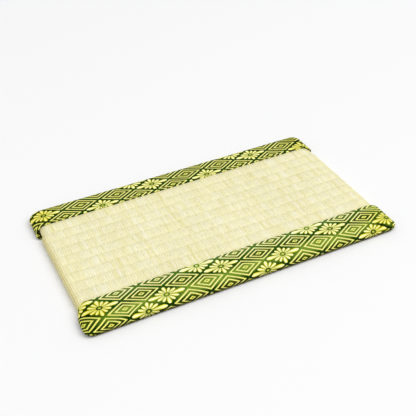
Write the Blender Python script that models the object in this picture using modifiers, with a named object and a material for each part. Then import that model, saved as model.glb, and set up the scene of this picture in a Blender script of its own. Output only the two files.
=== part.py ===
"""A small tatami mat: a woven rush cover wrapped over both ends, and two brocade bindings.

Each binding is a tape folded round a long edge. Its ends close over the corners of the mat.
The mat lies flat on its underside, with X along its length and its origin at the bottom centre.
"""

import math

import bmesh
import bpy

# Driving dimensions, in metres
NEAR_LENGTH = 0.1824
FAR_LENGTH = 0.1804
MAT_WIDTH = 0.1067
MAT_HEIGHT = 0.0056
CORNER_ROUND = 0.0042
EDGE_ROUND = 0.0020
END_ROUND = 0.0070
CLOTH = 0.0010
CLEARANCE = 0.0003

NEAR_TOP_WIDTH = 0.0207
FAR_TOP_WIDTH = 0.0156
NEAR_LEFT_CUT = 0.0046
NEAR_LEFT_DRAWN_IN = 0.0014
NEAR_RIGHT_CUT = 0.0018
FAR_FLAP_SPREAD = 0.0025
FAR_UNDER_SPREAD = 0.0050

RUSH_LENGTH = 0.1782
RUSH_BELOW_BINDING = 0.0006
COVERED_LENGTH = 0.1754
COVERED_END_RUN = 0.0040
ROW_PITCH = 0.00756
ROW_RELIEF = 0.0003
ROW_RELIEF_AT_END = 0.00015
FIRST_ROW_LINE = -0.0233

# Steps along the curves
CORNER_STEPS = 6
RIM_STEPS = 12
END_STEPS = 5
POINTS_A_ROW = 6
REBATE_WALL_RUN = 0.00015

# Sizes that follow
HALF_WIDTH = MAT_WIDTH / 2
HALF_HEIGHT = MAT_HEIGHT / 2
INSET = CLOTH + CLEARANCE
RUSH_HALF_WIDTH = HALF_WIDTH - INSET
RUSH_TOP = MAT_HEIGHT - RUSH_BELOW_BINDING
NEAR_INNER_EDGE = -HALF_WIDTH + NEAR_TOP_WIDTH
FAR_INNER_EDGE = HALF_WIDTH - FAR_TOP_WIDTH
TOP_OPENING = (NEAR_INNER_EDGE + CLEARANCE, FAR_INNER_EDGE - CLEARANCE)
BOTTOM_OPENING = (TOP_OPENING[0], TOP_OPENING[1] - FAR_UNDER_SPREAD)

COLOURS = {
    "rush_mat": (0.82, 0.78, 0.56, 1.0),
    "binding_near": (0.16, 0.32, 0.05, 1.0),
    "binding_far": (0.16, 0.32, 0.05, 1.0),
}
ROUGHNESS = {"rush_mat": 0.65, "binding_near": 0.55, "binding_far": 0.55}


def clear_scene():
    for thing in list(bpy.data.objects):
        bpy.data.objects.remove(thing, do_unlink=True)


def new_collection(name):
    collection = bpy.data.collections.new(name)
    bpy.context.scene.collection.children.link(collection)
    return collection


def add_object(name, bm, collection):
    mesh = bpy.data.meshes.new(name)
    bm.to_mesh(mesh)
    bm.free()
    mesh.shade_smooth()
    mesh.set_sharp_from_angle(angle=math.radians(35))
    thing = bpy.data.objects.new(name, mesh)
    collection.objects.link(thing)
    material = bpy.data.materials.new(name)
    material.use_nodes = True
    shader = material.node_tree.nodes["Principled BSDF"]
    shader.inputs["Base Color"].default_value = COLOURS[name]
    shader.inputs["Roughness"].default_value = ROUGHNESS[name]
    shader.inputs["Metallic"].default_value = 0.0
    mesh.materials.append(material)
    return thing


def loft(rings):
    """A closed solid through rings of points, capped at both ends."""
    bm = bmesh.new()
    rings = [[bm.verts.new(point) for point in ring] for ring in rings]
    count = len(rings[0])
    for ring, following in zip(rings, rings[1:]):
        for index in range(count):
            after = (index + 1) % count
            bm.faces.new((ring[index], ring[after], following[after], following[index]))
    bm.faces.new(list(reversed(rings[0])))
    bm.faces.new(rings[-1])
    bmesh.ops.recalc_face_normals(bm, faces=bm.faces)
    return bm


def round_bar(half_x, low_z, high_z, turn_x, turn_z, steps):
    """A bar's outline as X and Z, with each of its four corners a quarter of an ellipse."""
    outline = []
    for side_x, side_z, start in ((1, 1, 0), (-1, 1, 90), (-1, -1, 180), (1, -1, 270)):
        centre_x = side_x * (half_x - turn_x)
        centre_z = high_z - turn_z if side_z > 0 else low_z + turn_z
        for step in range(steps + 1):
            angle = math.radians(start + 90 * step / steps)
            outline.append((centre_x + turn_x * math.cos(angle), centre_z + turn_z * math.sin(angle)))
    return outline


def drawn_back(distance, radius):
    """How far a round of this radius has drawn back, at a distance in from its edge."""
    if distance >= radius:
        return 0.0
    return radius - math.sqrt(radius ** 2 - (radius - distance) ** 2)


def smooth_step(value):
    value = min(1.0, max(0.0, value))
    return value * value * (3 - 2 * value)


def row_dip(y):
    """Dip below the woven row's crest, 0 to 1: each row is an arch between two lines."""
    across = ((y - FIRST_ROW_LINE) / ROW_PITCH) % 1.0
    return abs(2 * across - 1) ** 2.5


def between(y, opening):
    return opening[0] + REBATE_WALL_RUN / 2 < y < opening[1] - REBATE_WALL_RUN / 2


def rush_ring(y):
    """The rush cover's section at y: full between the bindings, pressed thin under them."""
    edge_distance = RUSH_HALF_WIDTH - abs(y)
    corner_inset = drawn_back(edge_distance, CORNER_ROUND - INSET)
    thinner = drawn_back(edge_distance, EDGE_ROUND - INSET)
    half = COVERED_LENGTH / 2 - corner_inset
    top = MAT_HEIGHT - INSET - thinner
    bottom = 0.0 if between(y, BOTTOM_OPENING) else INSET + thinner
    turn_x = END_ROUND - INSET
    if between(y, TOP_OPENING):
        top = RUSH_TOP - ROW_RELIEF * row_dip(y)
        open_half = RUSH_LENGTH / 2 - ROW_RELIEF_AT_END * row_dip(y)
        tuck = smooth_step(1 + (y - BOTTOM_OPENING[1]) / COVERED_END_RUN)
        half = open_half + (half - open_half) * tuck
        turn_x = RUSH_TOP / 2 + (turn_x - RUSH_TOP / 2) * tuck
    turn_z = (top - bottom) * 0.49
    outline = round_bar(half, bottom, top, turn_x, turn_z, END_STEPS)
    return [(x, y, z) for x, z in outline]


def rush_stations():
    """Places along Y where the rush cover has a section, from its near edge to its far edge."""
    stations = set()
    for radius in (CORNER_ROUND - INSET, EDGE_ROUND - INSET):
        for step in range(CORNER_STEPS + 1):
            inward = radius * (1 - math.cos(math.pi / 2 * step / CORNER_STEPS))
            stations |= {inward - RUSH_HALF_WIDTH, RUSH_HALF_WIDTH - inward}
    for near_wall, far_wall in (TOP_OPENING, BOTTOM_OPENING):
        stations |= {near_wall, near_wall + REBATE_WALL_RUN, far_wall, far_wall - REBATE_WALL_RUN}
    point_gap = ROW_PITCH / POINTS_A_ROW
    first = math.ceil((TOP_OPENING[0] + REBATE_WALL_RUN - FIRST_ROW_LINE) / point_gap)
    last = math.floor((TOP_OPENING[1] - REBATE_WALL_RUN - FIRST_ROW_LINE) / point_gap)
    stations |= {FIRST_ROW_LINE + index * point_gap for index in range(first, last + 1)}
    return without_near_repeats(sorted(stations))


def without_near_repeats(values, least=0.00004):
    kept = [values[0]]
    for value in values[1:]:
        if value - kept[-1] > least:
            kept.append(value)
    return kept


def make_rush_mat(collection):
    rings = [rush_ring(y) for y in rush_stations()]
    return add_object("rush_mat", loft(rings), collection)


def envelope_ring(length, z):
    """The bound mat's outline in plan at height z: it draws in towards the top and the bottom."""
    off_middle = abs(z - HALF_HEIGHT)
    end_inset = END_ROUND * (1 - math.sqrt(max(0.0, 1 - (off_middle / HALF_HEIGHT) ** 2)))
    edge_inset = drawn_back(HALF_HEIGHT - off_middle, EDGE_ROUND)
    corner_x = max(CORNER_ROUND - end_inset / 2, CORNER_ROUND / 3)
    corner_y = max(CORNER_ROUND - edge_inset, CORNER_ROUND / 3)
    ring = []
    for side_x, side_y, start in ((1, 1, 0), (-1, 1, 90), (-1, -1, 180), (1, -1, 270)):
        centre_x = side_x * (length / 2 - end_inset - corner_x)
        centre_y = side_y * (HALF_WIDTH - edge_inset - corner_y)
        for step in range(CORNER_STEPS + 1):
            angle = math.radians(start + 90 * step / CORNER_STEPS)
            ring.append((centre_x + corner_x * math.cos(angle), centre_y + corner_y * math.sin(angle), z))
    return ring


def envelope(length):
    """The outer form of a whole bound mat, as a stack of plan outlines."""
    tilts = [math.pi * (step / RIM_STEPS - 0.5) for step in range(RIM_STEPS + 1)]
    return loft([envelope_ring(length, HALF_HEIGHT * (1 + math.sin(tilt))) for tilt in tilts])


def near_edge_shift(along, x, z):
    """The near tape's inner edge curves away from the rush over each end, more at the left."""
    if x < 0:
        return NEAR_LEFT_DRAWN_IN * along ** 2, -NEAR_LEFT_CUT * along ** 2
    return 0.0, -NEAR_RIGHT_CUT * along ** 2


def far_edge_shift(along, x, z):
    """The far tape's inner edge spreads over the rush as it goes down each end and under."""
    if z > HALF_HEIGHT:
        return 0.0, -FAR_FLAP_SPREAD * along ** 3
    lowness = 1 - z / HALF_HEIGHT
    return 0.0, -FAR_FLAP_SPREAD - (FAR_UNDER_SPREAD - FAR_FLAP_SPREAD) * lowness


def make_binding(name, side, length, inner_edge, edge_shift, collection):
    """One tape of cloth round a long edge: the part of the envelope beyond its inner edge."""
    bm = envelope(length)
    everything = list(bm.verts) + list(bm.edges) + list(bm.faces)
    bmesh.ops.bisect_plane(bm, geom=everything, plane_co=(0, inner_edge, 0),
                           plane_no=(0, side, 0), clear_inner=True, dist=1e-6)
    for vert in bm.verts:
        if vert.is_boundary:
            along = max(0.0, 1 - (length / 2 - abs(vert.co.x)) / END_ROUND)
            shift_x, shift_y = edge_shift(along, vert.co.x, vert.co.z)
            vert.co.x += shift_x
            vert.co.y += shift_y
    bmesh.ops.recalc_face_normals(bm, faces=bm.faces)
    thing = add_object(name, bm, collection)
    wall = thing.modifiers.new("Cloth", "SOLIDIFY")
    wall.thickness = CLOTH
    wall.offset = -1
    wall.use_even_offset = True
    wall.use_quality_normals = True
    return thing


def main():
    clear_scene()
    collection = new_collection("tatami_mat")
    make_rush_mat(collection)
    make_binding("binding_near", -1, NEAR_LENGTH, NEAR_INNER_EDGE, near_edge_shift, collection)
    make_binding("binding_far", 1, FAR_LENGTH, FAR_INNER_EDGE, far_edge_shift, collection)


main()
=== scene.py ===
"""The looks of a small tatami mat: woven rush with a brocade tape folded round each long edge.

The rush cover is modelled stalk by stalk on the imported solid's form. Each tape is a thin sheet on
the form of its solid, and its woven pattern follows the cloth round the edges and over the corners.
"""

import math
import random

import bmesh
import bpy
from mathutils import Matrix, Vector, noise


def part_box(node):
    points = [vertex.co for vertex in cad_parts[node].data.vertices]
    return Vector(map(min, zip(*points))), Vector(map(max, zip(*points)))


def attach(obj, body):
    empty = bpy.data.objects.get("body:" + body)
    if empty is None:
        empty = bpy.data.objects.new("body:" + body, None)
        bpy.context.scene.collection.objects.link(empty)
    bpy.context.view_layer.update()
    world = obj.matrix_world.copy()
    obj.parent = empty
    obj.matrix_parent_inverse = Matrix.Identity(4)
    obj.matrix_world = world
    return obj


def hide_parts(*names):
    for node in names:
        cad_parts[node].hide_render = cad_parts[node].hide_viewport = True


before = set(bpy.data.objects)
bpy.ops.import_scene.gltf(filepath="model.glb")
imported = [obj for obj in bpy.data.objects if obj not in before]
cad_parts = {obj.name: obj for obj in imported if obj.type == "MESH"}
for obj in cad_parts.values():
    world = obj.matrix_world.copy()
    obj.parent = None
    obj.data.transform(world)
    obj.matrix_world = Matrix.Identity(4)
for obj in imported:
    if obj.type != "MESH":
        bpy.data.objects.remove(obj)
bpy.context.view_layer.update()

# Sizes in metres, as in the part
near_low, near_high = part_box("binding_near")
far_low, far_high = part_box("binding_far")
rush_low, rush_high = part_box("rush_mat")
HEIGHT = near_high.z
HALF_HEIGHT = HEIGHT / 2
HALF_WIDTH = far_high.y
NEAR_LENGTH = near_high.x - near_low.x
FAR_LENGTH = far_high.x - far_low.x
RUSH_TOP = rush_high.z
RUSH_HALF_LENGTH = rush_high.x
NEAR_INNER_EDGE = -0.03265
FAR_INNER_EDGE = 0.03775
CORNER_ROUND = 0.0042
EDGE_ROUND = 0.0020
END_ROUND = 0.0070
TAPE = 0.0005
UNDER_TAPE = 0.0006
NEAR_LEFT_CUT = 0.0046
NEAR_LEFT_DRAWN_IN = 0.0014
NEAR_RIGHT_CUT = 0.0018
FAR_UNDER_SPREAD = 0.0060
FAR_UNDER_EDGE = FAR_INNER_EDGE - FAR_UNDER_SPREAD
FAR_LEFT_FLAP = (0.0037, 0.0062, 0.0015)
FAR_RIGHT_FLAP = (0.0021, 0.0032, 0.0)
FAR_LEFT_ROUNDER = 0.0014

# The weave: stalks lie across the mat, and hidden cords hold them down along each row line
ROW_PITCH = 0.00756
FIRST_ROW_LINE = -0.0233
ROW_DIP = 0.0003
STALKS_LONG = 128
STALKS_ROUND_END = 6
STALKS_IN_ALL = 2 * (STALKS_LONG + STALKS_ROUND_END)
STALK_RELIEF = 0.00020
STEPS_ALONG_ROW = (0.0, 0.07, 0.2, 0.4, 0.6, 0.8, 0.93)
STROKE_OVERRUN = 0.3

# How the rush goes in under the tapes, where its relief ends and it lies a little lower
RELIEF_END = 0.0400
RELIEF_FADE = 0.0020
LAST_ROW_STATION = 0.0395
COVERED_STATIONS = [-0.0455, -0.0410, 0.0410, 0.0455]
UNDER_STEP = 0.0004
UNDER_STEP_RUN = 0.0003
NEAR_TURN_RUN = 0.0020
NEAR_TURN_ROUND = 0.0045
FAR_TUCK_RUN = 0.0040
FAR_TUCK_DEPTH = 0.0014
FAR_RIGHT_TUCK_BACK = 0.0009

# Where the folding drew the cloth askew: centre, reach and move in the flat cloth
NEAR_PULLS = [(0.0870, -0.0460, 0.0060, 0.0001, 0.0006)]
FAR_PULLS = [(0.0870, 0.0400, 0.0080, 0.0004, -0.0014)]
# How far the near tape's outermost row of figures drifted as it was turned over the edge, place by place
NEAR_DRIFT = [(-0.0950, 0.0016, -0.0004), (-0.0796, 0.0016, -0.0004), (-0.0572, -0.0012, -0.0003),
              (-0.0349, 0.0, -0.0012), (-0.0126, -0.0010, -0.0012), (0.0098, -0.0014, -0.0008),
              (0.0321, -0.0015, -0.0015), (0.0545, -0.0018, -0.0012), (0.0768, -0.0024, -0.0001),
              (0.0950, -0.0024, 0.0)]
# The fold that runs in from the near right corner's tip, point by point along its line
NEAR_RIGHT_FOLD = [(0.0788, -0.0478, 0.0056), (0.0806, -0.0496, 0.0055), (0.0826, -0.0524, 0.0053),
                   (0.0845, -0.0533, 0.0042), (0.0868, -0.0535, 0.0030)]
NEAR_RIGHT_FOLD_REACH, NEAR_RIGHT_FOLD_DEPTH = 0.0008, 0.0004
RUSH_FOLD_REACH, RUSH_FOLD_DEPTH = 0.0040, 0.0007
FOLD_FINE_REACH = 0.0024

# The brocade: flowers and nested diamonds in a slanting lattice
REPEAT_ALONG = 0.02234
REPEAT_ACROSS = 0.006303
THREAD = 0.00028
# Parts of a cell's half width: the flower's height to its width, its petals' reach, its heart, and how
# far the flower's ground and the haze go
FLOWER_FLATNESS = 0.72
PETAL_REACH = 0.88
HEART_REACH = 0.16
FLOWER_GROUND = 0.92
HAZE_END = 0.87
# Rows of diamonds across the near tape: beside the rush (painted light), at the middle of the bend (painted
# sheen), and past it (painted shade)
BESIDE_RUSH = (0.2, 0.9)
BEND_ROW = 2.15
PAST_BEND = (2.6, 3.0)
# Places along the mat between which the painted sheen and painted shade of the tape change towards its ends
LIT_FROM_LEFT = (-0.086, -0.078)
LIT_AT_RIGHT = (0.0790, 0.0850)
YELLOWER_TO_END = (0.0700, 0.0800)
ENDS_SHADED = (0.070, 0.085)
# How far up the tape the painted contact shade at its foot comes in
CONTACT_SHADE_RUN = 0.0011

# Points of a mesh that are nearer than this are one
CLOSE_POINTS = 0.000002


def smooth_step(value):
    value = min(1.0, max(0.0, value))
    return value * value * (3 - 2 * value)


def drawn_back(distance, radius):
    """How far a round of this radius has drawn back, at a distance in from its edge."""
    if distance >= radius:
        return 0.0
    return radius - math.sqrt(radius ** 2 - (radius - max(0.0, distance)) ** 2)


def colour(code):
    """An sRGB hex colour as linear red, green, blue and alpha."""
    parts = [int(code[place:place + 2], 16) / 255 for place in (0, 2, 4)]
    linear = [part / 12.92 if part <= 0.04045 else ((part + 0.055) / 1.055) ** 2.4 for part in parts]
    return (*linear, 1.0)


def add_piece(name, bm, material):
    mesh = bpy.data.meshes.new(name)
    bm.to_mesh(mesh)
    bm.free()
    mesh.shade_smooth()
    mesh.materials.append(material)
    piece = bpy.data.objects.new(name, mesh)
    bpy.context.scene.collection.objects.link(piece)
    return piece


def apply_modifiers(piece):
    bpy.ops.object.select_all(action="DESELECT")
    piece.select_set(True)
    bpy.context.view_layer.objects.active = piece
    for modifier in list(piece.modifiers):
        bpy.ops.object.modifier_apply(modifier=modifier.name)


def skin(bm, rings):
    """Makes one closed body through rings of vertices, with a cap at each end."""
    count = len(rings[0])
    for ring, following in zip(rings, rings[1:]):
        for index in range(count):
            after = (index + 1) % count
            bm.faces.new((ring[index], ring[after], following[after], following[index]))
    bm.faces.new(list(reversed(rings[0])))
    bm.faces.new(rings[-1])
    bmesh.ops.recalc_face_normals(bm, faces=bm.faces)


def merge_close(mesh):
    """Merges points that the rounding of the cloth's edges left almost in one place."""
    bm = bmesh.new()
    bm.from_mesh(mesh)
    bmesh.ops.dissolve_degenerate(bm, edges=bm.edges, dist=CLOSE_POINTS)
    bm.to_mesh(mesh)
    bm.free()


# Materials

def add(tree, kind, inputs=None, **settings):
    """Adds a node. Inputs are values, or nodes and sockets that are linked in."""
    made = tree.nodes.new("ShaderNode" + kind)
    for setting, value in settings.items():
        setattr(made, setting, value)
    for place, value in (inputs or {}).items():
        if isinstance(value, bpy.types.Node):
            value = value.outputs[0]
        if isinstance(value, bpy.types.NodeSocket):
            tree.links.new(value, made.inputs[place])
        else:
            made.inputs[place].default_value = value
    return made


def new_material(name):
    material = bpy.data.materials.new(name)
    material.use_nodes = True
    tree = material.node_tree
    return material, tree, tree.nodes["Principled BSDF"]


def set_stops(ramp, stops):
    """Gives a colour ramp its stops, each a place and a colour."""
    elements = ramp.color_ramp.elements
    while len(elements) < len(stops):
        elements.new(1.0)
    for element, (place, code) in zip(elements, stops):
        element.position = place
        element.color = colour(code)


def make_rush_material():
    """Igusa rush, dried: pale straw stalks with fine fibres along them and a faint dry sheen."""
    material, tree, shader = new_material("dried_igusa_rush")
    tone = add(tree, "Attribute", attribute_name="tone", attribute_type="GEOMETRY")
    groove = add(tree, "Attribute", attribute_name="groove", attribute_type="GEOMETRY")
    place = add(tree, "TexCoord")
    where = place.outputs["Object"]
    stalk_colour = add(tree, "ValToRGB", {0: tone.outputs["Fac"]})
    set_stops(stalk_colour, [(0.0, "E0D690"), (0.3, "ECE5AC"), (0.6, "F3EDC2"), (1.0, "F8F4D8")])
    # Fibres a quarter of a millimetre apart, coarser than real ones so that they show, along the stalk
    fibre_place = add(tree, "Mapping", {0: where, 3: (1 / 0.00025, 1 / 0.006, 1 / 0.0006)})
    fibres = add(tree, "TexNoise", {"Vector": fibre_place, "Scale": 1.0, "Detail": 2.0})
    fibre_tint = add(tree, "MapRange", {0: fibres.outputs["Fac"], 1: 0.3, 2: 0.7, 3: 0.93, 4: 1.05})
    # Soft clouds of tone about 9 mm wide, from stalks of one bundle
    clouds = add(tree, "TexNoise", {"Vector": where, "Scale": 1 / 0.009, "Detail": 1.0})
    cloud_tint = add(tree, "MapRange", {0: clouds.outputs["Fac"], 1: 0.3, 2: 0.7, 3: 0.97, 4: 1.02})
    # Painted shade: darker in the grooves between the stalks
    shade = add(tree, "MapRange", {0: groove.outputs["Fac"], 1: 0.3, 2: 1.0, 3: 1.0, 4: 0.88})
    # Small dry flecks about 0.3 mm wide and 1 mm long
    fleck_place = add(tree, "Mapping", {0: where, 3: (1 / 0.0008, 1 / 0.0022, 1 / 0.0012)})
    flecks = add(tree, "TexNoise", {"Vector": fleck_place, "Scale": 1.0, "Detail": 1.0})
    fleck_tint = add(tree, "MapRange", {0: flecks.outputs["Fac"], 1: 0.56, 2: 0.74, 3: 1.0, 4: 0.83})
    # From here shade holds the painted shade in the grooves times the dry flecks' own darker tone
    shade = add(tree, "Math", {0: shade, 1: fleck_tint}, operation="MULTIPLY")
    tint = add(tree, "Math", {0: fibre_tint, 1: cloud_tint}, operation="MULTIPLY")
    tint = add(tree, "Math", {0: tint, 1: shade}, operation="MULTIPLY")
    tinted = add(tree, "VectorMath", {0: stalk_colour, "Scale": tint}, operation="SCALE")
    # Painted shade in the dip: along each row line, where the hidden cords press the stalks down, the stalks
    # are given a darker, yellower line, of a strength that differs from stroke to stroke
    pressed = add(tree, "Attribute", attribute_name="pressed", attribute_type="GEOMETRY")
    dip_shade_share = add(tree, "Math", {0: pressed.outputs["Fac"], 1: 0.62}, operation="MULTIPLY")
    lined = add(tree, "Mix", {"Factor": dip_shade_share, 6: tinted, 7: colour("D2C888")}, data_type="RGBA")
    # Painted shade: the stalks that turn over the left end are multiplied to a warmer, darker straw yellow,
    # most of all in the grooves between them
    along = add(tree, "SeparateXYZ", {0: where})
    left_end_shade = add(tree, "MapRange", {0: along.outputs["X"], 1: -0.0840, 2: -0.0885, 3: 0.0, 4: 0.8})
    between = add(tree, "MapRange", {0: groove.outputs["Fac"], 1: 0.2, 2: 1.0, 3: 0.45, 4: 1.0})
    left_end_shade = add(tree, "Math", {0: left_end_shade, 1: between}, operation="MULTIPLY")
    straw = add(tree, "Mix", {"Factor": left_end_shade, 6: lined.outputs[2], 7: colour("D8C870")}, data_type="RGBA",
                blend_type="MULTIPLY")
    tree.links.new(straw.outputs[2], shader.inputs["Base Color"])
    bump = add(tree, "Bump", {"Height": fibres.outputs["Fac"], "Distance": 0.00004, "Strength": 0.6})
    tree.links.new(bump.outputs[0], shader.inputs["Normal"])
    shader.inputs["Roughness"].default_value = 0.58
    shader.inputs["Specular IOR Level"].default_value = 0.35
    shader.inputs["Sheen Weight"].default_value = 0.08
    return material


def make_brocade_material(name, haze_on_rising, haze_on_falling, depth, bend_sheen, contact_shade_top):
    """Jacquard brocade of silk-like rayon: a green satin ground with pale yellow figure threads raised on it.

    The cloth map counts repeats along the tape and rows of diamonds across it. Haze is how far the floats
    cover the lines of each slope. depth is a gamma on all the tape's colours, above 1 darker and fuller, from
    which the painted shade past the bend and at the ends starts. bend_sheen is how strong the painted sheen
    on the folded edge and the right tip is, with the painted shade past the bend and the painted light
    beside the rush. Below contact_shade_top the tape gets a painted contact shade of olive brown.
    """
    material, tree, shader = new_material(name)
    cloth = add(tree, "UVMap", uv_map="cloth")
    # The figure's edges step from thread to thread, drawn coarser than the real threads so that they show
    threads = (THREAD / REPEAT_ALONG, THREAD / REPEAT_ACROSS, 1.0)
    stepped = add(tree, "VectorMath", {0: cloth, 1: threads}, operation="SNAP")
    at = add(tree, "SeparateXYZ", {0: stepped})
    half_row = add(tree, "Math", {0: at.outputs["Y"], 1: 0.5}, operation="MULTIPLY")
    rising = add(tree, "Math", {0: at.outputs["X"], 1: half_row}, operation="ADD")
    falling = add(tree, "Math", {0: at.outputs["X"], 1: half_row}, operation="SUBTRACT")
    rising_cell = add(tree, "Math", {0: rising}, operation="ROUND")
    falling_cell = add(tree, "Math", {0: falling}, operation="ROUND")
    rising_off = add(tree, "Math", {0: rising, 1: rising_cell}, operation="SUBTRACT")
    falling_off = add(tree, "Math", {0: falling, 1: falling_cell}, operation="SUBTRACT")
    rising_size = add(tree, "Math", {0: rising_off}, operation="ABSOLUTE")
    falling_size = add(tree, "Math", {0: falling_off}, operation="ABSOLUTE")
    off_centre = add(tree, "Math", {0: rising_size, 1: falling_size}, operation="MAXIMUM")
    off_centre = add(tree, "Math", {0: off_centre, 1: 2.0}, operation="MULTIPLY")

    # Which cells hold a flower: every third one, shifted from row to row in a round of four rows
    row = add(tree, "Math", {0: rising_cell, 1: falling_cell}, operation="SUBTRACT")
    row = add(tree, "Math", {0: row, 1: 4.0}, operation="FLOORED_MODULO")
    turn_back = add(tree, "Math", {0: row, 1: 1.5}, operation="GREATER_THAN")
    turn = add(tree, "Math", {0: turn_back, 1: -2.0, 2: 1.0}, operation="MULTIPLY_ADD")
    first_flower = add(tree, "Math", {0: turn, 1: row, 2: 3.5}, operation="MULTIPLY_ADD")
    place_in_row = add(tree, "Math", {0: rising_cell, 1: falling_cell}, operation="ADD")
    place_in_row = add(tree, "Math", {0: place_in_row, 1: first_flower}, operation="SUBTRACT")
    place_in_row = add(tree, "Math", {0: place_in_row, 1: 6.0}, operation="FLOORED_MODULO")
    has_flower = add(tree, "Math", {0: place_in_row, 1: 1.0}, operation="LESS_THAN")

    # Nested diamonds: three pale rings round a green dot, with dark lines between
    rings = add(tree, "ValToRGB", {0: off_centre})
    set_stops(rings, [(0.0, "1A4204"), (0.05, "306008"), (0.085, "FAF884"), (0.155, "FAF884"),
                      (0.19, "0C1402"), (0.23, "101C00"), (0.265, "3C6010"), (0.315, "3C6010"),
                      (0.35, "101C00"), (0.38, "0C1402"), (0.415, "FCFA96"), (0.505, "FCFA96"),
                      (0.54, "0C1402"), (0.58, "101C00"), (0.61, "36580E"), (0.65, "36580E"),
                      (0.68, "101C00"), (0.715, "0C1402"), (0.75, "FCFA96"), (0.845, "FCFA96"),
                      (0.88, "0E2002"), (0.94, "204204"), (1.0, "32600C")])

    # Flower: twelve petals that reach towards the cell's edges, round a small green ring
    sideways = add(tree, "Math", {0: rising_off, 1: falling_off}, operation="ADD")
    upward = add(tree, "Math", {0: rising_off, 1: falling_off}, operation="SUBTRACT")
    upward = add(tree, "Math", {0: upward, 1: FLOWER_FLATNESS}, operation="MULTIPLY")
    arm = add(tree, "CombineXYZ", {0: sideways, 1: upward})
    reach = add(tree, "VectorMath", {0: arm}, operation="LENGTH")
    angle = add(tree, "Math", {0: upward, 1: sideways}, operation="ARCTAN2")
    petal_place = add(tree, "Math", {0: angle, 1: 6 / math.pi}, operation="MULTIPLY")
    petal = add(tree, "Math", {0: petal_place}, operation="ROUND")
    off_petal = add(tree, "Math", {0: petal_place, 1: petal}, operation="SUBTRACT")
    off_petal = add(tree, "Math", {0: off_petal}, operation="ABSOLUTE")
    petal_angle = add(tree, "Math", {0: petal, 1: math.pi / 6}, operation="MULTIPLY")
    across = add(tree, "Math", {0: petal_angle}, operation="COSINE")
    across = add(tree, "Math", {0: across}, operation="ABSOLUTE")
    up = add(tree, "Math", {0: petal_angle}, operation="SINE")
    up = add(tree, "Math", {0: up}, operation="ABSOLUTE")
    both = add(tree, "Math", {0: up, 1: 1 / FLOWER_FLATNESS, 2: across}, operation="MULTIPLY_ADD")
    outward = add(tree, "Math", {0: reach.outputs["Value"], 1: both}, operation="MULTIPLY")
    outward = add(tree, "Math", {0: outward, 1: PETAL_REACH}, operation="DIVIDE")
    taper = add(tree, "Math", {0: outward, 1: 6.0}, operation="POWER")
    taper = add(tree, "Math", {0: 1.0, 1: taper}, operation="SUBTRACT")
    taper = add(tree, "Math", {0: taper, 1: 0.0}, operation="MAXIMUM")
    taper = add(tree, "Math", {0: taper}, operation="SQRT")
    half_petal = add(tree, "Math", {0: up, 1: -0.02, 2: 0.47}, operation="MULTIPLY_ADD")
    side_of_petal = add(tree, "Math", {0: taper, 1: half_petal, 2: 0.001}, operation="MULTIPLY_ADD")
    side_of_petal = add(tree, "Math", {0: off_petal, 1: side_of_petal}, operation="DIVIDE")
    petal_colour = add(tree, "ValToRGB", {0: side_of_petal})
    set_stops(petal_colour, [(0.0, "FFFFE4"), (0.35, "FFFDB0"), (0.64, "F8F060"), (0.82, "CCCC30"),
                             (1.0, "24420A")])
    root = add(tree, "MapRange", {0: outward, 1: 0.25, 2: 0.75, 3: 0.45, 4: 0.0})
    petal_toned = add(tree, "Mix", {"Factor": root, 6: petal_colour, 7: colour("A8AC1C")}, data_type="RGBA")
    solid_place = add(tree, "TexCoord")
    on_mat = add(tree, "SeparateXYZ", {0: solid_place.outputs["Object"]})
    # Painted shade: towards both ends the petals are mixed towards a fuller, darker yellow
    off_middle = add(tree, "Math", {0: on_mat.outputs["X"]}, operation="ABSOLUTE")
    start, end = YELLOWER_TO_END
    to_end = add(tree, "MapRange", {0: off_middle, 1: start, 2: end, 3: 0.0, 4: 0.26})
    petal_toned = add(tree, "Mix", {"Factor": to_end, 6: petal_toned.outputs[2], 7: colour("E8DC18")},
                      data_type="RGBA")
    heart = add(tree, "ValToRGB", {0: reach.outputs["Value"]})
    set_stops(heart, [(0.0, "D8D460"), (0.05, "D8D460"), (0.085, "2A5A0A"), (0.135, "2A5A0A"),
                      (0.17, "A4B034")])
    past_heart = add(tree, "Math", {0: reach.outputs["Value"], 1: HEART_REACH}, operation="GREATER_THAN")
    flower = add(tree, "Mix", {"Factor": past_heart, 6: heart, 7: petal_toned.outputs[2]}, data_type="RGBA")
    past_petals = add(tree, "Math", {0: outward, 1: 1.0}, operation="GREATER_THAN")
    flower = add(tree, "Mix", {"Factor": past_petals, 6: flower.outputs[2], 7: colour("183C04")},
                 data_type="RGBA")
    past_cell = add(tree, "Math", {0: off_centre, 1: FLOWER_GROUND}, operation="GREATER_THAN")
    flower = add(tree, "Mix", {"Factor": past_cell, 6: flower.outputs[2], 7: colour("1C4604")},
                 data_type="RGBA")
    figure = add(tree, "Mix", {"Factor": has_flower, 6: rings, 7: flower.outputs[2]}, data_type="RGBA")

    # Floats that run one way cover more of the ground, so the lines of that slope blur towards olive
    on_falling = add(tree, "Math", {0: falling_size, 1: rising_size}, operation="GREATER_THAN")
    haze = add(tree, "MapRange", {0: on_falling, 3: haze_on_rising, 4: haze_on_falling})
    inside = add(tree, "Math", {0: off_centre, 1: HAZE_END}, operation="LESS_THAN")
    haze = add(tree, "Math", {0: haze, 1: inside}, operation="MULTIPLY")
    plain = add(tree, "Math", {0: 1.0, 1: has_flower}, operation="SUBTRACT")
    haze = add(tree, "Math", {0: haze, 1: plain}, operation="MULTIPLY")
    hazed = add(tree, "Mix", {"Factor": haze, 6: figure.outputs[2], 7: colour("A0A018")}, data_type="RGBA")
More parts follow.
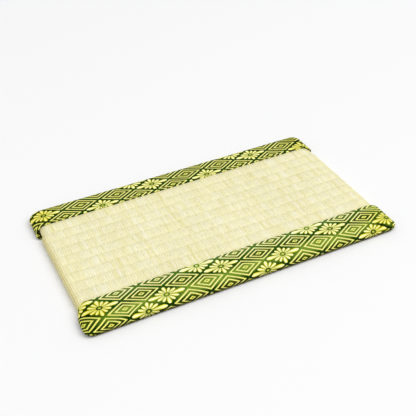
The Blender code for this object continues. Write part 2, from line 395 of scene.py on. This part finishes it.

    # Painted sheen: where the near tape starts to bend down, and at its right end, the green of its satin
    # floats between the figures is lightened towards a yellow green
    across_cloth = add(tree, "SeparateXYZ", {0: cloth})
    off_bend = add(tree, "Math", {0: across_cloth.outputs["Y"], 1: BEND_ROW}, operation="SUBTRACT")
    off_bend = add(tree, "Math", {0: off_bend}, operation="ABSOLUTE")
    lit = add(tree, "MapRange", {0: off_bend, 1: 0.25, 2: 0.7, 3: bend_sheen, 4: 0.0})
    cover = add(tree, "Math", {0: plain, 1: 0.26, 2: 0.38}, operation="MULTIPLY_ADD")
    lit = add(tree, "Math", {0: lit, 1: cover}, operation="MULTIPLY")
    start, end = LIT_FROM_LEFT
    from_left = add(tree, "MapRange", {0: on_mat.outputs["X"], 1: start, 2: end, 3: 0.3, 4: 1.0})
    lit = add(tree, "Math", {0: lit, 1: from_left}, operation="MULTIPLY")
    start, end = LIT_AT_RIGHT
    right_tip = 0.45 * bend_sheen
    at_right = add(tree, "MapRange", {0: on_mat.outputs["X"], 1: start, 2: end, 3: 0.0, 4: right_tip})
    lit = add(tree, "Math", {0: lit, 1: at_right}, operation="MAXIMUM")
    sheened = add(tree, "Mix", {"Factor": lit, 6: hazed.outputs[2], 7: colour("8CA834")}, data_type="RGBA",
                  blend_type="LIGHTEN")

    # Painted shade: past the bend and towards both ends the colours are darkened and made fuller by a gamma.
    # Painted light: on the near tape they are lightened beside the rush
    start, end = PAST_BEND
    deepest_shade_gamma = depth + 0.30 * bend_sheen
    shade_gamma = add(tree, "MapRange", {0: across_cloth.outputs["Y"], 1: start, 2: end, 3: depth, 4: deepest_shade_gamma})
    start, end = ENDS_SHADED
    end_shade_gamma = add(tree, "MapRange", {0: off_middle, 1: start, 2: end, 3: depth, 4: 1.40})
    shade_gamma = add(tree, "Math", {0: shade_gamma, 1: end_shade_gamma}, operation="MAXIMUM")
    start, end = BESIDE_RUSH
    rush_side_light_gamma = 1 - 0.32 * bend_sheen
    rush_side_light = add(tree, "MapRange", {0: across_cloth.outputs["Y"], 1: start, 2: end, 3: rush_side_light_gamma, 4: 1.0})
    shade_gamma = add(tree, "Math", {0: shade_gamma, 1: rush_side_light}, operation="MULTIPLY")
    lit_and_shaded = add(tree, "Gamma", {0: sheened.outputs[2], 1: shade_gamma})

    # Painted shade: low on the edge, where the tape meets the surface that the mat lies on, it is darkened
    # olive brown, less on the underside itself
    contact_shade_bottom = contact_shade_top - CONTACT_SHADE_RUN
    from_above = add(tree, "MapRange", {0: on_mat.outputs["Z"], 1: contact_shade_top, 2: contact_shade_bottom, 3: 0.0, 4: 0.80})
    from_below = add(tree, "MapRange", {0: on_mat.outputs["Z"], 1: 0.0, 2: 0.0005, 3: 0.25, 4: 1.0})
    contact_shade_share = add(tree, "Math", {0: from_above, 1: from_below}, operation="MULTIPLY")
    contact_shaded = add(tree, "Mix", {"Factor": contact_shade_share, 6: lit_and_shaded, 7: colour("2A240A")}, data_type="RGBA")

    # Painted shade: along the fold at the near right corner the tape is darkened nearly to black
    fold = add(tree, "Attribute", attribute_name="fold", attribute_type="GEOMETRY")
    fold_shade_share = add(tree, "Math", {0: fold.outputs["Fac"], 1: 2.2}, operation="MULTIPLY", use_clamp=True)
    fold_shaded = add(tree, "Mix", {"Factor": fold_shade_share, 6: contact_shaded.outputs[2], 7: colour("0A1402")},
               data_type="RGBA")

    # Each thread takes the dye a little differently
    thread_noise = add(tree, "TexWhiteNoise", {"Vector": stepped}, noise_dimensions="3D")
    thread_tint = add(tree, "MapRange", {0: thread_noise.outputs["Value"], 3: 0.90, 4: 1.12})
    coloured = add(tree, "VectorMath", {0: fold_shaded.outputs[2], "Scale": thread_tint}, operation="SCALE")
    tree.links.new(coloured.outputs[0], shader.inputs["Base Color"])

    # Figure threads stand 0.1 mm proud, and each float is a small ridge across the tape
    brightness = add(tree, "RGBToBW", {0: fold_shaded.outputs[2]})
    floats = 2 * math.pi * REPEAT_ALONG / THREAD
    ridge = add(tree, "Math", {0: across_cloth.outputs["X"], 1: floats}, operation="MULTIPLY")
    ridge = add(tree, "Math", {0: ridge}, operation="SINE")
    height = add(tree, "Math", {0: ridge, 1: 0.12, 2: brightness}, operation="MULTIPLY_ADD")
    bump = add(tree, "Bump", {"Height": height, "Distance": 0.00014, "Strength": 0.7})
    tree.links.new(bump.outputs[0], shader.inputs["Normal"])
    shader.inputs["Roughness"].default_value = 0.45
    shader.inputs["Specular IOR Level"].default_value = 0.05
    shader.inputs["Specular Tint"].default_value = colour("C8DC5A")
    return material


# The rush cover

def held_down(x, z, half, turn, low, high, share):
    """Brings a place on the section down to a longer round at the end, by a share from 0 to 1."""
    middle = (low + high) / 2
    past = min(1.0, max(0.0, (abs(x) - half + turn) / turn))
    most = (high - low) / 2 * math.sqrt(1 - past ** 2)
    held = middle + max(-most, min(most, z - middle))
    return z + (held - z) * share


def section_point(stalk, half, turn, low, high):
    """A place on the cover's section, counted in stalks round it, and the way out from there."""
    stalk = stalk % STALKS_IN_ALL
    flat, middle, rise = half - turn, (low + high) / 2, (high - low) / 2
    if stalk < STALKS_LONG:
        return -flat + 2 * flat * stalk / STALKS_LONG, high, 0.0, 1.0
    stalk -= STALKS_LONG
    if stalk < STALKS_ROUND_END:
        angle = math.pi * (0.5 - stalk / STALKS_ROUND_END)
        out_x, out_z = math.cos(angle), math.sin(angle)
        return flat + turn * out_x, middle + rise * out_z, out_x, out_z
    stalk -= STALKS_ROUND_END
    if stalk < STALKS_LONG:
        return flat - 2 * flat * stalk / STALKS_LONG, low, 0.0, -1.0
    angle = math.pi * (-0.5 - (stalk - STALKS_LONG) / STALKS_ROUND_END)
    out_x, out_z = math.cos(angle), math.sin(angle)
    return -flat + turn * out_x, middle + rise * out_z, out_x, out_z


def section_columns():
    """Places round the section: four a stalk on the top and ends, two a stalk underneath."""
    quarters = 4 * (STALKS_LONG + STALKS_ROUND_END)
    seen = [step / 4 for step in range(quarters)]
    under_start = STALKS_LONG + STALKS_ROUND_END
    under = [under_start + step / 2 for step in range(2 * STALKS_LONG)]
    last_end = under_start + STALKS_LONG
    return seen + under + [last_end + step / 4 for step in range(4 * STALKS_ROUND_END)]


def cover_stations():
    """Places across the mat where the cover has a section."""
    edge = HALF_WIDTH - UNDER_TAPE
    stations = []
    for step in range(8):
        inward = (CORNER_ROUND - UNDER_TAPE) * (1 - math.cos(math.pi / 2 * step / 7))
        stations += [-edge + inward, edge - inward]
    stations += COVERED_STATIONS
    stations += [NEAR_INNER_EDGE + 0.0001, NEAR_INNER_EDGE + UNDER_STEP]
    stations += [FAR_UNDER_EDGE - UNDER_STEP, FAR_UNDER_EDGE - 0.0001]
    for row in range(-3, 10):
        for step in STEPS_ALONG_ROW:
            y = FIRST_ROW_LINE + (row + step) * ROW_PITCH
            if -LAST_ROW_STATION < y < LAST_ROW_STATION:
                stations.append(y)
    stations.sort()
    kept = stations[:1]
    for y in stations[1:]:
        if y - kept[-1] > 0.00005:
            kept.append(y)
    return kept


def end_share(stalk):
    """How far a place on the section has turned over an end, 0 on the flat and 1 on the round."""
    stalk = stalk % STALKS_IN_ALL
    under_start = STALKS_LONG + STALKS_ROUND_END
    if stalk <= STALKS_LONG:
        return smooth_step((2.2 - min(stalk, STALKS_LONG - stalk)) / 2.0)
    if under_start < stalk < under_start + STALKS_LONG:
        return 0.0
    return 1.0


def stroke_height(stalk, row_place, row):
    """How high the woven stroke of a row stands at a place, from 0 in a groove to 1 on its crest."""
    centre_shift = 0.5 * (row % 2)
    off_stalk = abs((stalk - centre_shift + 0.5) % 1.0 - 0.5)
    round_stalk = math.sqrt(max(0.0, 1 - (2 * off_stalk) ** 2))
    off_middle = abs(2 * (row_place - row) - 1)
    if off_middle <= 1:
        return round_stalk * (1 - 0.55 * off_middle ** 6)
    return round_stalk * 0.45 * max(0.0, 1 - (off_middle - 1) / STROKE_OVERRUN)


def long_stalk_height(stalk):
    """The same for the stalks that turn over an end, which lie side by side across the whole mat."""
    off_stalk = abs((stalk + 0.5) % 1.0 - 0.5)
    return math.sqrt(max(0.0, 1 - (2 * off_stalk) ** 2))


def build_rush_cover(material):
    rng = random.Random(11)
    columns = section_columns()
    wander = [rng.uniform(-0.07, 0.07) for _ in range(2 * STALKS_IN_ALL)]
    stalk_tone = [rng.gauss(0.0, 0.07) for _ in range(2 * STALKS_IN_ALL)]
    stroke_tone = {}
    stroke_grip = {}
    bm = bmesh.new()
    tone_layer = bm.verts.layers.float.new("tone")
    groove_layer = bm.verts.layers.float.new("groove")
    pressed_layer = bm.verts.layers.float.new("pressed")
    edge = HALF_WIDTH - UNDER_TAPE
    rings = []
    for y in cover_stations():
        to_edge = edge - abs(y)
        shown = smooth_step((RELIEF_END - abs(y)) / RELIEF_FADE)
        row_place = (y - FIRST_ROW_LINE) / ROW_PITCH
        dip = abs(2 * (row_place % 1.0) - 1) ** 2.5 * shown
        tucked = smooth_step((y - FAR_UNDER_EDGE + FAR_TUCK_RUN) / FAR_TUCK_RUN)
        turned_in = smooth_step((NEAR_INNER_EDGE + NEAR_TURN_RUN - y) / NEAR_TURN_RUN)
        thinner = drawn_back(to_edge, EDGE_ROUND - UNDER_TAPE)
        high = RUSH_TOP - ROW_DIP * dip - thinner
        lifted = max(smooth_step((NEAR_INNER_EDGE + UNDER_STEP - y) / UNDER_STEP_RUN),
                     smooth_step((y - FAR_UNDER_EDGE + UNDER_STEP) / UNDER_STEP_RUN))
        low = UNDER_TAPE * lifted + thinner + ROW_DIP * 0.5 * dip * (1 - lifted)
        turn = (high - low) / 2
        half = RUSH_HALF_LENGTH - ROW_DIP * 0.5 * dip - tucked * FAR_TUCK_DEPTH
        half -= drawn_back(to_edge, CORNER_ROUND - UNDER_TAPE)
        row = math.floor(row_place + 1e-6)
        ring = []
        for stalk in columns:
            best, winner = 0.0, row
            for candidate in (row - 1, row, row + 1):
                height = stroke_height(stalk, row_place, candidate)
                if height > best:
                    best, winner = height, candidate
            over = end_share(stalk)
            number = math.floor(stalk - 0.5 * (winner % 2) + 0.5) % STALKS_IN_ALL
            half_number = (2 * number + winner % 2) % (2 * STALKS_IN_ALL)
            key = (winner, number)
            if key not in stroke_tone:
                stroke_tone[key] = rng.gauss(0.0, 0.09) - (0.20 if rng.random() < 0.06 else 0.0)
                stroke_grip[key] = rng.random() ** 1.5
            best += (long_stalk_height(stalk) - best) * over
            wobble = wander[int(2 * stalk) % (2 * STALKS_IN_ALL)]
            x, z, out_x, out_z = section_point(stalk + wobble * shown, half, turn, low, high)
            relief = STALK_RELIEF if out_z > -0.5 else STALK_RELIEF * 0.6
            depth = relief * (1 - best) * shown * (1 - 0.5 * over)
            z = held_down(x, z, half, NEAR_TURN_ROUND, low, high, turned_in)
            z = held_down(x, z, half, END_ROUND - UNDER_TAPE, low, high, tucked)
            if x > 0:
                x += FAR_RIGHT_TUCK_BACK * tucked * over
            z -= near_left_droop(x, y, z)
            place = Vector((x - out_x * depth, y, z - out_z * depth))
            vert = bm.verts.new(pressed_in(place, RUSH_FOLD_REACH, RUSH_FOLD_DEPTH)[0])
            along_tone = stalk_tone[2 * int(stalk + 0.5) % (2 * STALKS_IN_ALL)] * 1.3 - 0.03
            in_weave = stalk_tone[half_number] + stroke_tone[key]
            vert[tone_layer] = 0.60 + in_weave + (along_tone - in_weave) * over
            vert[groove_layer] = (1 - best) * shown
            off_line = abs((row_place + 0.5) % 1.0 - 0.5)
            grip = 0.15 + 0.85 * stroke_grip[key]
            vert[pressed_layer] = max(0.0, 1 - off_line / 0.11) * shown * grip * (1 - 0.8 * over)
            ring.append(vert)
        rings.append(ring)
    skin(bm, rings)
    piece = add_piece("rush_cover", bm, material)
    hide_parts("rush_mat")
    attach(piece, "root")
    return piece


# The bindings

def run_round_end(tilt):
    """Length of cloth from the flat top down the end's long round to this tilt, 90 degrees being the top."""
    steps, run = 60, 0.0
    for step in range(steps):
        angle = math.pi / 2 + (tilt - math.pi / 2) * (step + 0.5) / steps
        across, down = END_ROUND * math.sin(angle), HALF_HEIGHT * math.cos(angle)
        run += math.hypot(across, down) * (math.pi / 2 - tilt) / steps
    return run


def run_round_edge(z):
    """Length of cloth from the flat top down the long edge to height z."""
    def from_face(depth):
        if depth >= EDGE_ROUND:
            return EDGE_ROUND * math.pi / 2 + depth - EDGE_ROUND
        return EDGE_ROUND * math.acos(max(-1.0, min(1.0, 1 - depth / EDGE_ROUND)))
    if z >= HALF_HEIGHT:
        return from_face(HEIGHT - z)
    return 2 * from_face(HALF_HEIGHT) - from_face(z)


def envelope_ring(length, tilt, steps):
    """The bound mat's outline in plan at this tilt, with the place in the flat cloth of each point.

    The corner at the far left is drawn in rounder than the rest.
    """
    z = HALF_HEIGHT * (1 + math.sin(tilt))
    off_middle = abs(z - HALF_HEIGHT)
    end_inset = END_ROUND * (1 - math.cos(tilt))
    edge_inset = drawn_back(HALF_HEIGHT - off_middle, EDGE_ROUND)
    end_run, edge_run = run_round_end(tilt), run_round_edge(z)
    ring = []
    for side_x, side_y, start in ((1, 1, 0), (-1, 1, 90), (-1, -1, 180), (1, -1, 270)):
        corner = CORNER_ROUND + (FAR_LEFT_ROUNDER if (side_x, side_y) == (-1, 1) else 0.0)
        corner_x = max(corner - end_inset / 2, corner / 3)
        corner_y = max(corner - edge_inset, corner / 3)
        centre_x = length / 2 - end_inset - corner_x
        centre_y = HALF_WIDTH - edge_inset - corner_y
        cloth_x = length / 2 - END_ROUND + end_run - centre_x
        cloth_y = HALF_WIDTH - EDGE_ROUND + edge_run - centre_y
        for step in range(steps + 1):
            angle = math.radians(start + 90 * step / steps)
            across, up = math.cos(angle), math.sin(angle)
            point = (side_x * centre_x + corner_x * across, side_y * centre_y + corner_y * up, z)
            cloth = (side_x * centre_x + cloth_x * across, side_y * centre_y + cloth_y * up, 0.0)
            ring.append((point, cloth))
    return ring


def envelope(length, rim_steps=24, corner_steps=12):
    """The outer form of a whole bound mat, each vertex knowing its place in the flat cloth."""
    bm = bmesh.new()
    cloth_layer = bm.verts.layers.float_vector.new("cloth_place")
    rings = []
    for step in range(rim_steps + 1):
        ring = []
        for point, cloth in envelope_ring(length, math.pi * (step / rim_steps - 0.5), corner_steps):
            vert = bm.verts.new(point)
            vert[cloth_layer] = cloth
            ring.append(vert)
        rings.append(ring)
    skin(bm, rings)
    return bm


def finer_near_fold(bm):
    """Divides the mesh finely along the fold, so that it has points enough to be pressed in."""
    edges = [edge for edge in bm.edges
             if all(off_fold(vert.co)[0] < FOLD_FINE_REACH for vert in edge.verts)]
    bmesh.ops.subdivide_edges(bm, edges=edges, cuts=3, use_grid_fill=True)


def cut_at(bm, place, direction, clear_inner=False):
    everything = list(bm.verts) + list(bm.edges) + list(bm.faces)
    bmesh.ops.bisect_plane(bm, geom=everything, plane_co=place, plane_no=direction,
                           clear_inner=clear_inner, dist=1e-7)


def near_edge_shift(along, x, z):
    """The near tape's inner edge curves away from the rush over each end, more at the left."""
    if x < 0:
        return NEAR_LEFT_DRAWN_IN * along ** 2, -NEAR_LEFT_CUT * along ** 2
    return 0.0, -NEAR_RIGHT_CUT * along ** 2


def far_edge_shift(along, x, z):
    """The far tape's inner edge spreads over the rush as it goes down each end and under.

    Each flap has its spread at half height, its spread at the bottom, and how far it stands off there.
    """
    spread, end_under, flare = FAR_LEFT_FLAP if x < 0 else FAR_RIGHT_FLAP
    if z > HALF_HEIGHT:
        return 0.0, -spread * along ** 3
    lowness = 1 - z / HALF_HEIGHT
    under = FAR_UNDER_SPREAD + (end_under - FAR_UNDER_SPREAD) * along
    return math.copysign(flare * lowness * math.sqrt(along), x), -spread - (under - spread) * lowness


def near_left_droop(x, y, z):
    """How far the near left corner's top rounds down, where the tape is drawn tight over it."""
    along = smooth_step((-0.0660 - x) / 0.0180)
    across = smooth_step((-0.0420 - y) / 0.0105)
    return 0.0010 * along * across * max(0.0, 2 * z / HEIGHT - 1)


def off_fold(place):
    """How far a place is from the fold's line, and how far along the line that is, from 0 to 1."""
    if place.x < 0.0740 or place.y > -0.0430:
        return 1.0, 0.0
    points = [Vector(point) for point in NEAR_RIGHT_FOLD]
    least, along = 1.0, 0.0
    for number, (start, end) in enumerate(zip(points, points[1:])):
        part = (place - start).dot(end - start) / (end - start).length_squared
        part = min(1.0, max(0.0, part))
        gap = (place - start.lerp(end, part)).length
        if gap < least:
            least, along = gap, (number + part) / (len(points) - 1)
    return least, along


def pressed_in(place, reach, depth):
    """A place after the fold is pressed in, down from the top and inward from the edge, and its share."""
    gap, along = off_fold(place)
    share = smooth_step(along * 2.5) * smooth_step(1 - gap / reach)
    on_edge = smooth_step((-0.0518 - place.y) / 0.0012)
    return place + Vector((0.0, on_edge, on_edge - 1)) * depth * share, share


def drifted(x, y):
    """A place in the near tape's flat cloth after the drift of its outermost row."""
    share = smooth_step((-0.0455 - y) / 0.0070)
    for before, after in zip(NEAR_DRIFT, NEAR_DRIFT[1:]):
        if before[0] <= x < after[0]:
            part = smooth_step((x - before[0]) / (after[0] - before[0]))
            move_x = before[1] + (after[1] - before[1]) * part
            move_y = before[2] + (after[2] - before[2]) * part
            return x - move_x * share, y - move_y * share
    return x, y


def pulled(x, y, pulls):
    """A place in the flat cloth after the listed pulls, each a centre, a reach and a move."""
    if y < 0:
        x, y = drifted(x, y)
    for centre_x, centre_y, reach, move_x, move_y in pulls:
        share = smooth_step(1 - math.hypot(x - centre_x, y - centre_y) / reach)
        x, y = x - move_x * share, y - move_y * share
    return x, y


def cloth_on_face(face, length, cloth_layer):
    """Places in the flat cloth for a face's corners.

    Underneath, the end flap meets the side flap in a mitre.
    """
    corners = [loop.vert for loop in face.loops]
    if max(vert.co.z for vert in corners) > 1e-6:
        return [vert[cloth_layer].copy() for vert in corners]
    middle = face.calc_center_median()
    end_line, edge_line = length / 2 - END_ROUND, HALF_WIDTH - EDGE_ROUND
    side_run, end_run = run_round_edge(0.0), run_round_end(-math.pi / 2)
    places = []
    for vert in corners:
        x, y = vert.co.x, vert.co.y
        if end_line - abs(middle.x) < edge_line - abs(middle.y):
            places.append(Vector((math.copysign(2 * end_line - abs(x) + end_run, x), y, 0)))
        else:
            places.append(Vector((x, math.copysign(2 * edge_line - abs(y) + side_run, y), 0)))
    return places


def build_binding(name, node, side, length, inner_edge, edge_shift, cloth_start, pulls, material):
    bm = envelope(length)
    fold_layer = bm.verts.layers.float.new("fold")
    cloth_layer = bm.verts.layers.float_vector["cloth_place"]
    cut_at(bm, (0, inner_edge, 0), (0, side, 0), clear_inner=True)
    across_cuts = 14
    for step in range(1, across_cuts):
        y = inner_edge + (side * (HALF_WIDTH - CORNER_ROUND) - inner_edge) * step / across_cuts
        cut_at(bm, (0, y, 0), (0, 1, 0))
    flat_half = length / 2 - END_ROUND - CORNER_ROUND / 3
    along_cuts = 116
    for step in range(along_cuts + 1):
        cut_at(bm, (flat_half * (2 * step / along_cuts - 1), 0, 0), (1, 0, 0))
    if side < 0:
        finer_near_fold(bm)
    uv_layer = bm.loops.layers.uv.new("cloth")
    first_x, first_y, shift_x, shift_y = cloth_start
    for face in bm.faces:
        for loop, place in zip(face.loops, cloth_on_face(face, length, cloth_layer)):
            x, y = pulled(place.x, place.y, pulls)
            loop[uv_layer].uv = ((x - first_x) / REPEAT_ALONG + shift_x,
                                 (abs(y) - first_y) / REPEAT_ACROSS + shift_y)
    settle = 0.0100
    for vert in bm.verts:
        co = vert.co
        along = max(0.0, 1 - (length / 2 - abs(co.x)) / END_ROUND)
        from_edge = abs(co.y - inner_edge)
        share = max(0.0, 1 - from_edge / settle)
        move_x, move_y = edge_shift(along, co.x, co.z)
        wave = noise.noise(Vector((co.x / 0.016, co.y / 0.011, 3.1 * side)))
        edge_wave = noise.noise(Vector((co.x / 0.022, 0.0, 7.7 * side)))
        outer = smooth_step((abs(co.y) - HALF_WIDTH + 0.004) / 0.003)
        co.x += move_x * share
        co.y += move_y * share + side * 0.00012 * edge_wave * outer
        if co.z > HALF_HEIGHT:
            co.z += 0.00005 * wave - 0.00004 - near_left_droop(co.x, co.y, co.z)
        vert.co, vert[fold_layer] = pressed_in(co, NEAR_RIGHT_FOLD_REACH, NEAR_RIGHT_FOLD_DEPTH)
    piece = add_piece(name, bm, material)
    wall = piece.modifiers.new("cloth thickness", "SOLIDIFY")
    wall.thickness = TAPE
    wall.offset = -1
    wall.use_quality_normals = True
    soft = piece.modifiers.new("soft edge", "BEVEL")
    soft.width = 0.00015
    soft.segments = 2
    soft.limit_method = "ANGLE"
    soft.angle_limit = math.radians(60)
    apply_modifiers(piece)
    # Only the far tape's flaps are left with points almost in one place
    if side > 0:
        merge_close(piece.data)
    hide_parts(node)
    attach(piece, "root")
    return piece


# Floor, lights and camera

def build_floor():
    bpy.ops.object.select_all(action="DESELECT")
    bpy.ops.mesh.primitive_plane_add(size=8.0, location=(0, 0, 0))
    floor = bpy.context.object
    floor.name = "floor"
    material, tree, shader = new_material("matt_white_board")
    shader.inputs["Base Color"].default_value = colour("F4F4F5")
    shader.inputs["Roughness"].default_value = 0.9
    shader.inputs["Specular IOR Level"].default_value = 0.1
    floor.data.materials.append(material)


def add_light(name, place, size, energy, tint):
    lamp = bpy.data.lights.new(name, "AREA")
    lamp.shape = "DISK"
    lamp.size = size
    lamp.energy = energy
    lamp.color = colour(tint)[:3]
    light = bpy.data.objects.new(name, lamp)
    bpy.context.scene.collection.objects.link(light)
    light.location = place
    light.rotation_euler = (-Vector(place)).to_track_quat("-Z", "Y").to_euler()


def build_lights():
    world = bpy.data.worlds.new("white_studio")
    bpy.context.scene.world = world
    world.use_nodes = True
    sky = world.node_tree.nodes["Background"]
    sky.inputs["Color"].default_value = colour("FFFFFF")
    sky.inputs["Strength"].default_value = 0.51
    add_light("key", (3.4, -2.3, 4.4), 3.7, 104.0, "FFFFFF")
    add_light("above", (0.0, -1.4, 4.0), 4.6, 88.0, "FFFFFF")
    bpy.context.scene.view_settings.view_transform = "Standard"


def build_camera():
    """The photograph's view, solved from the brocade's repeats and the mat's outline."""
    lens = bpy.data.cameras.new("camera")
    lens.sensor_width = 36
    lens.lens = 68.1005
    lens.clip_start = 0.01
    camera = bpy.data.objects.new("camera", lens)
    bpy.context.scene.collection.objects.link(camera)
    camera.location = (-0.14734, -0.32030, 0.27423)
    camera.rotation_euler = [math.radians(angle) for angle in (53.3748, 1.7071, -25.9899)]
    bpy.context.scene.camera = camera


build_camera()
build_rush_cover(make_rush_material())
near_start = (-0.07957, 0.03419, -0.5, 0.0)
far_start = (-0.07117, 0.03953, 1.5, 1.0)
near_brocade = make_brocade_material("jacquard_brocade_near", 0.0, 0.12, 1.0, 1.0, 0.0030)
far_brocade = make_brocade_material("jacquard_brocade_far", 0.20, 0.0, 1.06, 0.0, 0.0018)
near = build_binding("near_tape", "binding_near", -1, NEAR_LENGTH, NEAR_INNER_EDGE, near_edge_shift,
                     near_start, NEAR_PULLS, near_brocade)
far = build_binding("far_tape", "binding_far", 1, FAR_LENGTH, FAR_INNER_EDGE, far_edge_shift,
                    far_start, FAR_PULLS, far_brocade)
build_floor()
build_lights()
